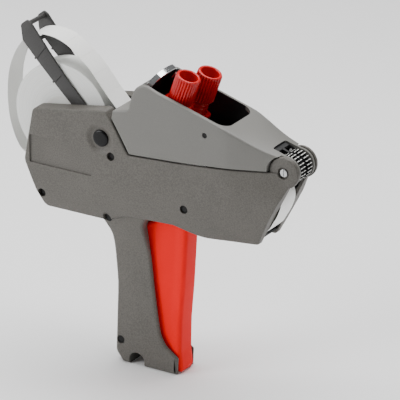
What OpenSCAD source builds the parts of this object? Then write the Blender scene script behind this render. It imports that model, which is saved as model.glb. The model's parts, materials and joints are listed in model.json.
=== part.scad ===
// Hand-held price labeling gun: two-part grey housing on a grip, hinged top cover, red squeeze
// trigger, two red setting knobs, open label roll with its web arm, and a toothed label applicator.
// Frame: +X forward to the nose, +Y to the left, +Z up, origin in the middle of the grip's foot.

/* [Housing] */
// Half of the width of the body across its flat sides
body_half = 23; // [22:0.1:25]
// Half of the width at the tip of the nose
nose_half = 14.6; // [14.4:0.1:15]
// Wall thickness of the moulded shells
wall = 2.2; // [2:0.1:2.4]
// Half of the width of the grip
grip_half = 12.8; // [12.6:0.1:13.4]
// Half of the width of the open well that the label roll turns in
well_half = 12.5; // [12.4:0.1:12.6]

/* [Label roll] */
// Outer radius of a full roll of labels
roll_r = 40; // [34:0.5:40]
// Width of the label web and of the roll
web_w = 20; // [18:0.1:20]
// Thickness of the label web as modelled
web_t = 0.5; // [0.4:0.05:0.6]

/* [Knobs] */
// Outer radius of a setting knob over its ribs
knob_r = 9.3; // [8.8:0.1:9.3]
// Height of the ribbed part of a knob
knob_h = 23; // [21:0.5:24]
// Forward lean of the knobs from the vertical
knob_lean = 20; // [18:1:21]
// Number of ribs round a knob
knob_ribs = 26; // [20:1:30]

/* [Applicator] */
// Tip radius of the toothed applicator wheels
wheel_r = 11; // [10:0.1:11]
// Number of teeth on each applicator wheel
wheel_teeth = 24; // [18:1:28]
// Radius of the front axle
axle_r = 2.5; // [2.3:0.05:2.5]

/* [Trigger] */
// Half of the width of the trigger
trigger_half = 9; // [8.6:0.1:9]
// Radius of the pin that the trigger swings on
trigger_pin_r = 2; // [1.8:0.1:2]

/* [Hidden] */

$fn = 48;
fit_gap = 0.05;       // radial running clearance of pins in moving parts
seat_gap = 0.02;      // radial clearance of pins in fixed seats
far = 40;             // reach of cutting shapes past the sides

hub = [116, 181.5];           // front axle: applicator wheels and cover hinge
roll_c = [-74.6, 184.5];      // centre of the label roll
arm_c = [-33.8, 179];         // pivot of the web arm, under the two buttons
trigger_c = [16, 8];          // pivot of the trigger
head_c = [-6, 190];           // pivot of the print head
lever_c = [4, 166];           // pivot of the drive lever
cam_pin = [15, 134];          // pin on the trigger cam
feed_c = [72, 134.8];         // feed wheel
type_c = [88, 171.4];         // type wheels
ink_pivot = [84, 179.5];      // ink arm
ink_c = [99.3, 168];          // ink roller
bail_c = [3.5, 224.5];        // hanging bail
knob_foot = [26.6, 216.2];    // bottom of the ribbed part of the knobs
knob_y = 9.8;                 // sideways place of each knob
knob_stagger = 6.5;           // how far the left knob stands in front of the right one
hub_r = 12;                   // rim of the hub ears
ear_in = 11.6;                // inner face of the housing ears
taper_x = 70;                 // where the sides start to draw in
cover_half = 20;              // half of the width inside the cover
frame_in = 17.4;              // inner face of the frame plates
frame_t = 1.2;                // thickness of the frame plates
boss_r = 4.2;
screw_r = 1.5;
screw_head_r = 2.8;
pit_r = 3.3;                  // pits that the screw heads lie in

// Housing screws as [x, z, depth of the head's face from the middle]
SCREWS = [[-24.5, 167, 19.4], [37.4, 138.8, 19.4], [-30, 116.3, 15.5], [-86, 124.6, 16.5],
          [-23.3, 17.8, 10.4]];

// ---- outlines, as [x, z, corner radius] ----
BODY = [
    [-92, 191.5, 5], [-29, 202, 3], [-25, 196.5, 1], [-16, 181.5, 2], [-10, 171, 4],
    [33, 173.7, 0], [73, 177.5, 0], [104, 180, 1], [116, 181.5, 0], [123, 178.5, 0],
    [119.3, 170.6, 2], [112, 157.5, 60], [103.4, 141.4, 60], [95.8, 121.2, 3], [73, 121, 30],
    [51, 119, 20], [39, 121, 20], [27, 123.5, 6], [-36, 121, 0], [-36, 114, 0],
    [-84, 114, 6], [-91, 125.5, 4], [-100, 149, 8]
];
GRIP = [
    [-36, 114, 0], [-29, 101.5, 12], [-26, 64, 60], [-28, 8, 5], [-20, 0, 1], [25, 0, 0.8],
    [25.6, 13.3, 1.5], [15.6, 20.5, 6], [10.6, 28, 20], [8, 44, 40], [5, 66.5, 60],
    [2.5, 89, 60], [-2, 117, 20], [7, 125, 0], [-36, 125, 0]
];
COVER = [
    [-23, 203.2, 1], [-9.4, 206.5, 2], [-7, 216.5, 6], [-3, 225.5, 6], [4.5, 228.5, 6],
    [15, 224.5, 20], [43.5, 216.7, 0], [71, 208.5, 60], [86, 203.4, 60], [102.5, 197.2, 60],
    [116.5, 193.2, 3], [116.5, 181.9, 0], [104, 180.7, 0], [73, 178.2, 0], [33, 174.4, 0],
    [-9.2, 171.8, 2], [-15.2, 182.2, 2], [-24.1, 197, 1]
];
COVER_ROOM = [
    [-20.8, 192], [-20.8, 201.3], [-7.2, 204.6], [-4.9, 215.8], [-1.2, 223.6], [4.4, 226.1],
    [14.4, 222.2], [42.9, 214.5], [70.4, 206.3], [101.8, 195.1], [130, 186], [130, 150],
    [-16, 150]
];
TRIGGER = [
    [26, 0.6, 0.5], [27.3, 3.5, 2], [25.9, 17, 10], [26.4, 40, 60], [28.9, 68.5, 80],
    [31.3, 108, 60], [31.6, 121.6, 1], [10, 121.6, 1], [-8, 112, 4], [-3, 89, 40],
    [0, 66.5, 60], [3, 44, 40], [6, 28, 20], [8, 10, 6], [9.5, 1.6, 3]
];
ARM = [
    [-107, 237.4, 2], [-95, 224.7, 0], [-79.5, 209.2, 0], [-65.8, 196.2, 30],
    [-41, 173.2, 7], [-33.8, 168.5, 7], [-26.8, 181.5, 6.5], [-41, 187.5, 12],
    [-53.8, 198.8, 20], [-72, 218, 0], [-86.5, 236, 0], [-99.4, 252, 1.5], [-103, 254, 1.5],
    [-108.5, 249.4, 2]
];
HEAD = [
    [-12, 186, 4], [-10, 197, 5], [1, 210.4, 4], [86, 179.6, 3], [95, 174, 3], [95, 168, 3],
    [86, 166, 4], [0, 181.5, 5]
];
WEB = [
    [-74, 143.6], [-88, 144.6], [-101, 146.6], [-112, 152.5], [-119.5, 170], [-122, 190],
    [-120, 212], [-112, 231], [-100, 242.4], [-84, 244.6], [-68, 239.6], [-51, 226],
    [-36, 208.8], [-26, 198.2], [-17, 189], [-6, 178.9], [14, 169.8], [44, 160.5],
    [70, 153.6], [82, 153.4], [104, 164.6], [107.5, 166.4]
];
LINER = [
    [108.2, 165.4], [111.6, 160.5], [112.4, 154], [110.6, 146.5], [106.2, 138.4], [100.4, 130.9],
    [94, 127.6], [87, 127.2], [80, 126.2], [72, 125.1], [66, 124.9], [58, 126.5]
];

// ---- helpers ----
function unit(v) = v / norm(v);
function flat(list) = [for (part = list) for (p = part) p];

// Corner i of an outline of [x, z, r], as one point or as an arc of steps
function corner(o, i) =
    let(n = len(o), p = [o[i][0], o[i][1]], r = o[i][2],
        a = [o[(i + n - 1) % n][0], o[(i + n - 1) % n][1]],
        b = [o[(i + 1) % n][0], o[(i + 1) % n][1]],
        u = unit(a - p), v = unit(b - p), half = acos(max(-1, min(1, u * v))) / 2,
        reach = min(r / tan(half), 0.48 * norm(a - p), 0.48 * norm(b - p)),
        rr = reach * tan(half), c = p + unit(u + v) * rr / sin(half),
        steps = r == 0 || half > 89.5 ? 0 : (half > 80 ? 2 : (half > 60 ? 4 : 6)))
    steps == 0 ? [p] : [for (k = [0 : steps])
        let(t = k / steps, m = (p + u * reach) * (1 - t) + (p + v * reach) * t)
        c + unit(m - c) * rr];
function rounded(o) = flat([for (i = [0 : len(o) - 1]) corner(o, i)]);

// 1 for an outline that runs clockwise, -1 for one that runs the other way
function sense(o) = let(n = len(o),
    twice = [for (i = [0 : n - 1]) let(a = o[i], b = o[(i + 1) % n]) a[0] * b[1] - b[0] * a[1]])
    twice * [for (t = twice) 1] < 0 ? 1 : -1;
// The same outline drawn in by depth, corner by corner, for the inside of a wall
function drawn_in(o, depth) = [for (i = [0 : len(o) - 1])
    let(n = len(o), d = depth * sense(o), p = [o[i][0], o[i][1]],
        a = [o[(i + n - 1) % n][0], o[(i + n - 1) % n][1]],
        b = [o[(i + 1) % n][0], o[(i + 1) % n][1]],
        u = unit(p - a), v = unit(b - p), nu = [u[1], -u[0]], nv = [v[1], -v[0]],
        m = unit(nu + nv), q = p + m * d / max(0.3, m * nu))
    [q[0], q[1], max(0, o[i][2] - depth)]];

// A smooth line through points, with a few steps between each two
function smooth(pts, steps) = flat([for (i = [0 : len(pts) - 2])
    let(a = pts[max(0, i - 1)], b = pts[i], c = pts[i + 1], d = pts[min(len(pts) - 1, i + 2)])
    [for (k = [0 : steps - (i == len(pts) - 2 ? 0 : 1)])
        let(t = k / steps)
        0.5 * (2 * b + (c - a) * t + (2 * a - 5 * b + 4 * c - d) * t * t
               + (3 * b - a - 3 * c + d) * t * t * t)]]);
function side_of(line, i, d) =
    let(a = line[max(0, i - 1)], b = line[min(len(line) - 1, i + 1)], u = unit(b - a))
    line[i] + [-u[1], u[0]] * d;
function ribbon(line, t) = concat(
    [for (i = [0 : len(line) - 1]) side_of(line, i, t / 2)],
    [for (i = [len(line) - 1 : -1 : 0]) side_of(line, i, -t / 2)]);

// An outline in X and Z, filled from y0 to y1
module slab(pts, y0, y1) {
    translate([0, y1, 0]) rotate([90, 0, 0]) linear_extrude(y1 - y0) polygon(pts);
}
// A round bar along Y
module bar(c, r, y0, y1) {
    translate([c[0], y1, c[1]]) rotate([90, 0, 0]) cylinder(r = r, h = y1 - y0);
}
module ring(c, r, hole, y0, y1) {
    difference() {
        bar(c, r, y0, y1);
        bar(c, hole, y0 - 1, y1 + 1);
    }
}
// A box by its two corners
module block(a, b) {
    translate(a) cube(b - a);
}
module both_sides() {
    children();
    mirror([0, 1, 0]) children();
}
// The space between the two side faces, drawn in towards the nose
module plan(half, tip) {
    translate([0, 0, -10]) linear_extrude(300) polygon([
        [-140, -half], [taper_x, -half], [hub[0], -tip], [140, -tip],
        [140, tip], [hub[0], tip], [taper_x, half], [-140, half]]);
}
// The space between the sides, drawn in a little at the belly
module belly(half) {
    rotate([90, 0, 90]) translate([0, 0, -140]) linear_extrude(280) polygon([
        [-half, 280], [-half, 152], [-half + 0.6, 140], [-half + 2, 128], [-half + 4.2, 112],
        [half - 4.2, 112], [half - 2, 128], [half - 0.6, 140], [half, 152], [half, 280]]);
}
// A wire coil along +Z
module coil(r, wire_r, length, turns) {
    steps = turns * 14;
    sides = 6;
    points = [for (i = [0 : steps]) for (k = [0 : sides - 1])
        let(a = i * 360 / 14, s = k * 360 / sides, rr = r + wire_r * cos(s))
        [rr * cos(a), rr * sin(a), wire_r + i / steps * (length - 2 * wire_r) + wire_r * sin(s)]];
    walls = [for (i = [0 : steps - 1]) for (k = [0 : sides - 1])
        [i * sides + k, i * sides + (k + 1) % sides,
         (i + 1) * sides + (k + 1) % sides, (i + 1) * sides + k]];
    ends = [[for (k = [sides - 1 : -1 : 0]) k], [for (k = [0 : sides - 1]) steps * sides + k]];
    polyhedron(points, concat([for (w = walls) [w[3], w[2], w[1], w[0]]],
        [for (e = ends) [for (k = [len(e) - 1 : -1 : 0]) e[k]]]), convexity = 8);
}
// The place and lean of a knob; sideways is -1 for the right knob and 1 for the left one
module at_knob(sideways) {
    translate([knob_foot[0], sideways * knob_y, knob_foot[1]]) rotate([0, knob_lean, 0])
        translate([sideways > 0 ? knob_stagger : 0, 0, 0]) children();
}
function star(n, r_out, r_in) = [for (i = [0 : 4 * n - 1])
    let(a = i * 90 / n, r = (i % 4 < 2) ? r_out : r_in) [r * cos(a), r * sin(a)]];

// ---- housing ----
module well_room() {
    bar(roll_c, 42.5, -well_half, well_half);
    block([-130, -well_half, 169.5], [-24, well_half, 262]);
    block([-130, -well_half, 142.8], [-80, well_half, 184]);
}
module well_walls() {
    bar(roll_c, 42.5 + 1.8, -well_half - 2, well_half + 2);
    block([-130, -well_half - 2, 167.7], [-22, well_half + 2, 262]);
    block([-130, -well_half - 2, 141], [-80, well_half + 2, 184]);
}
module notch_room(grow) {
    hull_w = 7 + grow;
    bar([-11, 4], hull_w, -far, far);
    block([-11 - hull_w, -far, -5], [-11 + hull_w, far, 4]);
}
module screw_bosses() {
    for (s = SCREWS) bar([s[0], s[1]], boss_r, -far, far);
}
module screw_pits() {
    for (s = SCREWS) {
        bar([s[0], s[1]], pit_r, -far, -s[2]);
        bar([s[0], s[1]], screw_r + seat_gap, -s[2] - 1, s[2] - 4);
    }
}
module grip_room() {
    difference() {
        slab(rounded(drawn_in(GRIP, 2.4)), -10.4, 10.4);
        notch_room(2);
    }
    slab([[6.5, -5], [6.5, 28], [3, 44], [-6, 98], [-8, 121], [36, 121], [36, -5]], -10.4, 10.4);
    slab([[-33.6, 106], [-33.6, 128], [34, 128], [34, 106]], -10.4, 10.4);
}
module body_room() {
    inner = rounded(drawn_in(BODY, wall));
    intersection() {
        union() {
            slab(inner, -far, far);
            slab([[-20, 150], [-20, 262], [140, 262], [140, 171], [87, 171], [60, 150]], -far, far);
            slab([[87, 100], [140, 100], [140, 172], [80, 172], [80, 140], [87, 140]], -11.4, 11.4);
        }
        plan(body_half - wall, ear_in);
        belly(body_half - wall);
    }
}
module housing_outer() {
    intersection() {
        union() {
            slab(rounded(BODY), -body_half, body_half);
            bar(hub, hub_r, -nose_half, nose_half);
        }
        plan(body_half, nose_half);
        belly(body_half);
    }
    slab(rounded(GRIP), -grip_half, grip_half);
}
module housing_pair() {
    difference() {
        union() {
            difference() {
                housing_outer();
                difference() {
                    body_room();
                    well_walls();
                }
                grip_room();
            }
            intersection() {
                screw_bosses();
                housing_outer();
            }
            both_sides() bar(arm_c, 8, well_half, body_half - 1);
        }
        well_room();
        notch_room(0);
        screw_pits();
        bar(hub, axle_r + seat_gap, -far, far);
        bar(roll_c, 4 + seat_gap, -well_half - 2, well_half + 2);
        bar(trigger_c, trigger_pin_r + seat_gap, -11.6, 11.6);
        bar(arm_c, 3 + seat_gap, -15, 15);
        block([-1.5, -10.3, -1], [7, 10.3, 3]);
        both_sides() {
            bar(hub, 4.6, 13.1, far);
            bar(arm_c, 6.5, 14.5, far);
            translate([arm_c[0], 21.3, arm_c[1]]) rotate([-90, 0, 0])
                cylinder(r1 = 7.6, r2 = 12.6, h = 3);
            block([-95, body_half - 0.8, 148], [-41, far, 170]);
        }
    }
}
module right_housing() {
    color("#65625d") intersection() {
        housing_pair();
        block([-140, -far, -10], [140, 0, 280]);
    }
}
module left_housing() {
    color("#65625d") intersection() {
        housing_pair();
        block([-140, 0, -10], [140, far, 280]);
    }
}
module foot_pad() {
    color("#2b2b2b") block([-1.5, -10.3, 0], [6.3, 10.3, 3]);
}
module housing_screws() {
    color("silver") for (s = SCREWS) {
        bar([s[0], s[1]], screw_head_r, -s[2] - 1.6, -s[2] - seat_gap);
        bar([s[0], s[1]], screw_r, -s[2] - seat_gap, s[2] - 4.5);
    }
}

// ---- frame inside the housing ----
FRAME = [
    [-12, 196, 3], [-1, 196, 3], [6, 178, 4], [34, 172, 4], [80, 168, 4], [80, 130, 3],
    [66, 127, 3], [30, 129, 3], [-8, 134, 3], [-14, 160, 6]
];
module frame_plate() {
    difference() {
        slab(rounded(FRAME), frame_in, frame_in + frame_t);
        for (c = [lever_c, feed_c, head_c]) bar(c, trigger_pin_r + seat_gap, 10, 30);
        bar([SCREWS[1][0], SCREWS[1][1]], boss_r + 0.3, 10, 30);
    }
}
module left_frame_plate() {
    color("#b9bcc0") frame_plate();
}
module right_frame_plate() {
    color("#b9bcc0") mirror([0, 1, 0]) frame_plate();
}
module frame_spacers() {
    color("#b9bcc0") for (c = [[30, 150], [56, 142]]) bar(c, 2.6, -frame_in, frame_in);
}
module through_pin(c) {
    color("#c8cacc") bar(c, trigger_pin_r, -frame_in - 2, frame_in + 2);
}
module lever_shaft() {
    through_pin(lever_c);
}
module feed_shaft() {
    through_pin(feed_c);
}
module head_pivot_pin() {
    through_pin(head_c);
}
module web_guide_bar() {
    color("#303030") bar([-18.1, 183], 1.8, -body_half + wall, body_half - wall);
}
module platen() {
    color("#3a3a3a") slab([[76, 151.8], [82.5, 152.2], [102.6, 162.8], [101.4, 160.4],
        [84, 146], [76, 146]], -11, 11);
}
module peel_plate() {
    color("#262626") slab([[103, 163], [107, 165.1], [107.4, 163.4], [105.4, 158.4],
        [101.7, 157.8]], -11, 11);
    color("#262626") both_sides() slab([[101.7, 157.8], [105.4, 158.4], [113.5, 168.5],
        [104, 170.5]], 10.7, 11.3);
}
module liner_guide() {
    color("#262626") {
        slab([[87, 123.3], [96.6, 125.2], [96.3, 126.4], [87, 124.9]], -11.2, 11.2);
        both_sides() slab([[88, 123.8], [96.4, 125.4], [103, 137], [100, 139], [88, 129]],
                          10.6, 11.2);
    }
}
module front_axle() {
    color("#d4d4d2") {
        bar(hub, axle_r, -13.1, 13.1);
        difference() {
            both_sides() bar(hub, 3.6, 13.1, 14.4);
            block([115.6, -20, 170], [116.4, -13.8, 190]);
            block([115.6, 13.8, 170], [116.4, 20, 190]);
        }
    }
}
module wheel_separator() {
    color("#1e1e1e") ring(hub, 8.9, axle_r + seat_gap, -1, 1);
}
module roll_spindle() {
    color("#9a9a9a") bar(roll_c, 4, -well_half - 1.9, well_half + 1.9);
}
module arm_pivot_pins() {
    color("#9a9a9a") both_sides() bar(arm_c, 3, 10.25, 14.5);
}
module trigger_pivot_pin() {
    color("#c8cacc") bar(trigger_c, trigger_pin_r, -11.5, 11.5);
}
module trigger_spring() {
    color("#b0b0b0") translate([-23.2, 0, 84]) rotate([0, 90, 0]) coil(4.6, 0.6, 19.8, 7);
}
module button_spring() {
    color("#b0b0b0") translate([arm_c[0], 14.6, arm_c[1]]) rotate([-90, 0, 0])
        coil(4.4, 0.35, 3.9, 4);
}
module left_button_spring() {
    button_spring();
}
module right_button_spring() {
    mirror([0, 1, 0]) button_spring();
}
module label_web() {
    color("#e8e8e6") slab(ribbon(smooth(WEB, 4), web_t), -web_w / 2, web_w / 2);
}
module liner_strip() {
    color("#f0f0ee") slab(ribbon(smooth(LINER, 4), web_t), -web_w / 2, web_w / 2);
}

// ---- cover ----
module window_room() {
    intersection() {
        block([3, -cover_half, 185], [72, cover_half, 262]);
        union() {
            block([3, -far, 180], [62, far, 262]);
            block([3, -cover_half + 9, 180], [72, cover_half - 9, 262]);
            for (s = [-1, 1]) translate([62, s * (cover_half - 9), 180]) cylinder(r = 9, h = 90);
        }
    }
}
module top_cover() {
    color("#8b8a86") difference() {
        union() {
            difference() {
                intersection() {
                    union() {
                        slab(rounded(COVER), -body_half, body_half);
                        bar(hub, 11.4, -11.3, 11.3);
                    }
                    plan(body_half, nose_half);
                }
                intersection() {
                    slab(COVER_ROOM, -far, far);
                    plan(cover_half, 8.9);
                }
                both_sides() bar(hub, hub_r + 0.6, 11.35, far);
                window_room();
            }
            both_sides() intersection() {
                block([0.4, 17.3, 219.5], [7.2, cover_half + 0.5, 227]);
                slab(rounded(COVER), -body_half, body_half);
            }
        }
        block([104, -9, 170], [140, 9, 262]);
        block([-30, -11.4, 188], [-18, 11.4, 201.2]);
        bar(hub, axle_r + fit_gap, -far, far);
        both_sides() {
            block([0.2, 15, 221], [6.8, 17.3, 262]);
            bar(bail_c, 1.2 + fit_gap, 14, 20);
            bar([55.3, 200.5], 2, 21.5, far);
            bar([55.3, 200.5], 1 + seat_gap, 20, far);
        }
    }
}
module applicator_plate() {
    color("#2e2d2f") difference() {
        slab([[104, 195], [112.5, 191.9], [112.5, 190.1], [104, 193.2]], -8.9, 8.9);
        both_sides() block([107.2, 1.1, 185], [120, 8.1, 199]);
    }
}
module cover_screws() {
    color("#303030") both_sides() {
        bar([55.3, 200.5], 1.9, 21.55, 22.5);
        bar([55.3, 200.5], 1, 20.1, 21.55);
    }
}
module hang_bail() {
    reach = 12.5;
    leg = 1.0;
    color("#d4d6d8") {
        translate([bail_c[0], 0, bail_c[1]]) rotate([0, -55, 0]) {
            difference() {
                union() {
                    block([-2.2, -16.6, -2.2], [reach - 8, 16.6, 2.2]);
                    translate([reach - 8, -8.6, -2.2]) cylinder(r = 8, h = 4.4);
                    translate([reach - 8, 8.6, -2.2]) cylinder(r = 8, h = 4.4);
                    block([reach - 8, -8.6, -2.2], [reach, 8.6, 2.2]);
                }
                block([-5, -16.6 + leg, -5], [reach - 8, 16.6 - leg, 5]);
                translate([reach - 8, -8.6, -5]) cylinder(r = 8 - leg, h = 10);
                translate([reach - 8, 8.6, -5]) cylinder(r = 8 - leg, h = 10);
                block([reach - 8.1, -8.6, -5], [reach - leg, 8.6, 5]);
            }
        }
        both_sides() bar(bail_c, 1.2, 16.4, 19.8);
    }
}

// ---- print head ----
head_half = 13.5;
module head_frame() {
    color("#3c3c3e") difference() {
        union() {
            both_sides() slab(rounded(HEAD), head_half - 1.5, head_half);
            at_knob(0) block([-20, -head_half + 0.6, -16.2], [18, head_half - 0.6, -14.8]);
            slab([[-10, 193.2], [-9, 196], [1, 208], [1, 205], [-5, 193.2]],
                 -head_half + 0.6, head_half - 0.6);
        }
        bar(head_c, trigger_pin_r + fit_gap, -20, 20);
        bar(type_c, 1.5 + seat_gap, -20, 20);
        bar(ink_pivot, 1.2 + fit_gap, -20, 20);
    }
}
module knob_base() {
    color("#b80a0a") difference() {
        at_knob(0) block([-19, -17.5, -14.1], [16, 17.5, -11.6]);
        for (s = [-1, 1]) at_knob(s) translate([0, 0, -30]) cylinder(r = 6.26, h = 30);
    }
}
module head_bridge() {
    color("#77756f") at_knob(0) block([26, -12, -24], [44, 12, -21]);
}
module selector_sleeve(s) {
    color("#b80a0a") at_knob(s) difference() {
        union() {
            translate([0, 0, -13.9]) cylinder(r = 6.2, h = 13.5);
            for (z = [-10.6, -7.4, -4.2]) translate([0, 0, z]) cylinder(r = 7, h = 1.6);
        }
        translate([0, 0, -30]) cylinder(r = 3 + fit_gap, h = 40);
    }
}
module right_selector_sleeve() {
    selector_sleeve(-1);
}
module left_selector_sleeve() {
    selector_sleeve(1);
}
module knob(s) {
    color("#d01414") at_knob(s) difference() {
        linear_extrude(knob_h) polygon(star(knob_ribs, knob_r, knob_r - 0.7));
        translate([0, 0, knob_h - 14]) cylinder(r = 6.7, h = 20);
        translate([0, 0, -1]) cylinder(r = 3 + seat_gap, h = knob_h);
    }
}
module right_knob() {
    knob(-1);
}
module left_knob() {
    knob(1);
}
module knob_shaft(s) {
    color("#c8cacc") at_knob(s) translate([0, 0, -13.7]) cylinder(r = 3, h = 21.2);
}
module right_knob_shaft() {
    knob_shaft(-1);
}
module left_knob_shaft() {
    knob_shaft(1);
}
module type_wheels() {
    color("#1d1d1f") difference() {
        union() {
            bar(type_c, 4.4, 0.6, 9.6);
            for (i = [0 : 4]) bar(type_c, 5.2, 0.7 + i * 1.8, 2 + i * 1.8);
        }
        bar(type_c, 1.5 + fit_gap, -1, 20);
    }
}
module left_type_wheels() {
    type_wheels();
}
module right_type_wheels() {
    mirror([0, 1, 0]) type_wheels();
}
module type_axle() {
    color("#c8cacc") bar(type_c, 1.5, -head_half, head_half);
}
module ink_arm() {
    color("#4a4a4c") {
        both_sides() slab([[82, 181.5], [86, 181.5], [101.2, 170], [101.2, 166], [97.4, 166]],
                          9.9, 10.55);
        bar(ink_pivot, 1.2, -head_half, head_half);
        bar(ink_c, 1.2, -10.55, 10.55);
    }
}
module ink_roller() {
    color("#1a1a22") ring(ink_c, 3.4, 1.2 + fit_gap, -9.6, 9.6);
}

// ---- trigger and drive ----
module trigger() {
    inner = rounded(drawn_in(TRIGGER, 2.8));
    color("#e81212") difference() {
        union() {
            difference() {
                slab(rounded(TRIGGER), -trigger_half, trigger_half);
                intersection() {
                    union() {
                        slab(inner, -6.8, 6.8);
                        slab([[-20, 16], [-20, 130], [20, 130], [12, 16]], -6.8, 6.8);
                    }
                    block([-30, -10, 14], [60, 10, 119]);
                }
            }
            slab([[-3.2, 77], [-3.2, 91], [-1.2, 91], [-1.2, 77]], -trigger_half, trigger_half);
        }
        bar(trigger_c, trigger_pin_r + fit_gap, -20, 20);
        slab([[7.9, 130], [22.1, 130], [22.1, 110], [7.9, 110]], -2.05, 2.05);
    }
}
module trigger_cam() {
    color("#b9bcc0") {
        slab(rounded([[8, 111, 0], [22, 111, 0], [22, 124, 3], [18, 137.5, 3], [12, 137.5, 3],
                      [8, 124, 3]]), -2, 2);
        bar(cam_pin, 2, -7.4, 7.4);
    }
}
module drive_lever() {
    color("#9c9fa3") difference() {
        slab(rounded([[4, 173, 5], [11, 168, 5], [20, 137, 4], [18, 128, 4], [11, 128, 4],
                      [8, 137, 4], [-3, 165, 5]]), 3, 4.8);
        bar(lever_c, trigger_pin_r + fit_gap, 0, 10);
        slab([[11.6, 137.6], [11.6, 129], [10, 126], [19, 126], [17.9, 130], [17.9, 137.6]], 0, 10);
    }
}
module feed_pawl() {
    color("#9c9fa3") difference() {
        slab(rounded([[11.4, 137.4, 3], [18.6, 137.4, 3], [19, 131.5, 3], [26, 128.7, 2],
                      [60, 128.7, 1], [65.2, 131.4, 0.5], [64.6, 127, 1], [22, 126.6, 3],
                      [11.4, 130.4, 3]]), 5.4, 7);
        bar(cam_pin, 2 + fit_gap, 0, 10);
    }
}
module feed_wheel() {
    color("#505054") difference() {
        slab([for (p = star(12, 9, 7.6)) p + feed_c], -4.8, 4.8);
        bar(feed_c, trigger_pin_r + fit_gap, -20, 20);
    }
}
module ratchet_wheel() {
    color("#8c8f93") difference() {
        slab([for (i = [0 : 23])
            feed_c + ((i % 2 == 0) ? 6.3 : 5.2) * [cos(i * 15 + 4), sin(i * 15 + 4)]], 4.8, 7);
        bar(feed_c, trigger_pin_r + fit_gap, 0, 20);
    }
}

// ---- web arm and roll ----
module roll_arm() {
    color("#6f6e6c") difference() {
        slab(rounded(ARM), 10.4, 12);
        bar(arm_c, 3 + fit_gap, 0, 20);
    }
}
module left_roll_arm() {
    roll_arm();
}
module right_roll_arm() {
    mirror([0, 1, 0]) roll_arm();
}
module arm_crossbars() {
    color("#5a5958") {
        bar([-103, 250.2], 2.2, -10.4, 10.4);
        bar([-94.5, 239.8], 2, -10.4, 10.4);
    }
}
module label_roll() {
    color("#e2e4e1") ring(roll_c, roll_r, 14.5 + seat_gap, -web_w / 2, web_w / 2);
}
module roll_core() {
    color("#dcdad4") ring(roll_c, 14.5, 12.7, -web_w / 2, web_w / 2);
}
module core_hub() {
    color("#e6e6e4") ring(roll_c, 12.7 - seat_gap, 4 + fit_gap, -9.8, 9.8);
}

// ---- applicator and buttons ----
module applicator_wheel() {
    color("#e6e6e4") difference() {
        slab([for (p = star(wheel_teeth, wheel_r, wheel_r - 1.6)) p + hub], 1.3, 7.7);
        bar(hub, axle_r + fit_gap, 0, 20);
    }
}
module left_applicator_wheel() {
    applicator_wheel();
}
module right_applicator_wheel() {
    mirror([0, 1, 0]) applicator_wheel();
}
module push_button() {
    color("#1b1b1b") {
        bar(arm_c, 6.42, 18.6, 22.4);
        bar(arm_c, 2.2, 17.3, 18.6);
    }
}
module left_button() {
    push_button();
}
module right_button() {
    mirror([0, 1, 0]) push_button();
}

right_housing();
left_housing();
foot_pad();
housing_screws();
right_frame_plate();
left_frame_plate();
frame_spacers();
lever_shaft();
feed_shaft();
head_pivot_pin();
web_guide_bar();
platen();
peel_plate();
liner_guide();
front_axle();
wheel_separator();
roll_spindle();
arm_pivot_pins();
trigger_pivot_pin();
trigger_spring();
right_button_spring();
left_button_spring();
label_web();
liner_strip();
top_cover();
applicator_plate();
cover_screws();
hang_bail();
head_frame();
knob_base();
head_bridge();
right_selector_sleeve();
left_selector_sleeve();
right_knob();
left_knob();
right_knob_shaft();
left_knob_shaft();
right_type_wheels();
left_type_wheels();
type_axle();
ink_arm();
ink_roller();
trigger();
trigger_cam();
drive_lever();
feed_pawl();
feed_wheel();
ratchet_wheel();
right_roll_arm();
left_roll_arm();
arm_crossbars();
label_roll();
roll_core();
core_hub();
right_applicator_wheel();
left_applicator_wheel();
right_button();
left_button();
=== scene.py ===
# %% [markdown]
# # A price labeling gun, piece by piece
# The gun is a grey two-part housing on a grip, with a lighter cover hinged at the nose, a red squeeze
# trigger, two red setting knobs, and a roll of labels that turns in an open well at the back. The
# moving skeleton is loaded as a fixed frame. Here the moulded pieces are made again with soft edges
# and fine grain, and every metal and paper piece gets its own finish.
# %% Load the frame
import json
import math

import bmesh
import bpy
from mathutils import Matrix, Vector


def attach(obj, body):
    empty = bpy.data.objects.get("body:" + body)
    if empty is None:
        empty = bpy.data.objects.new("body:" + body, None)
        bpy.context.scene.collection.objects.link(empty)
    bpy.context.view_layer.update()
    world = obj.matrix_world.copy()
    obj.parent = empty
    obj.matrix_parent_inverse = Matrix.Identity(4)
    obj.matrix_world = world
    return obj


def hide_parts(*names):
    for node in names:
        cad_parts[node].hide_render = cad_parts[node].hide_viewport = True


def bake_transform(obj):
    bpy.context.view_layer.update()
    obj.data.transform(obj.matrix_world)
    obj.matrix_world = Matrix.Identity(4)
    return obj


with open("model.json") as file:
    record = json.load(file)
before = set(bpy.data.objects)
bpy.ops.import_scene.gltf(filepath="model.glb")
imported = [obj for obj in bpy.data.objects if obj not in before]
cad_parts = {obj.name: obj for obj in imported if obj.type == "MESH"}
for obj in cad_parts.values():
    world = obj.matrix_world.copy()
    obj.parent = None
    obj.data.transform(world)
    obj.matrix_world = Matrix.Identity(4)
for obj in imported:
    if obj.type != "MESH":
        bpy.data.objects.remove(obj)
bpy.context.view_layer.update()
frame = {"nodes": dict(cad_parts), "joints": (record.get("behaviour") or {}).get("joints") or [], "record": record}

NODES = frame["nodes"]
MM = 0.001

# %% [markdown]
# ## The places that everything hangs on
# A few axes decide the whole gun: the front axle, the roll, the pivot of the web arm under the side
# buttons, and the leaning axes of the knobs. They are read from the frame's own joints, in
# millimetres, so that the looks can't drift away from the mechanics.
# %% Axes and driving sizes
JOINTS = {joint["name"]: joint for joint in frame["joints"]}


def axis_xz(name):
    x, _, z = JOINTS[name]["pos_m"]
    return x / MM, z / MM


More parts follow.
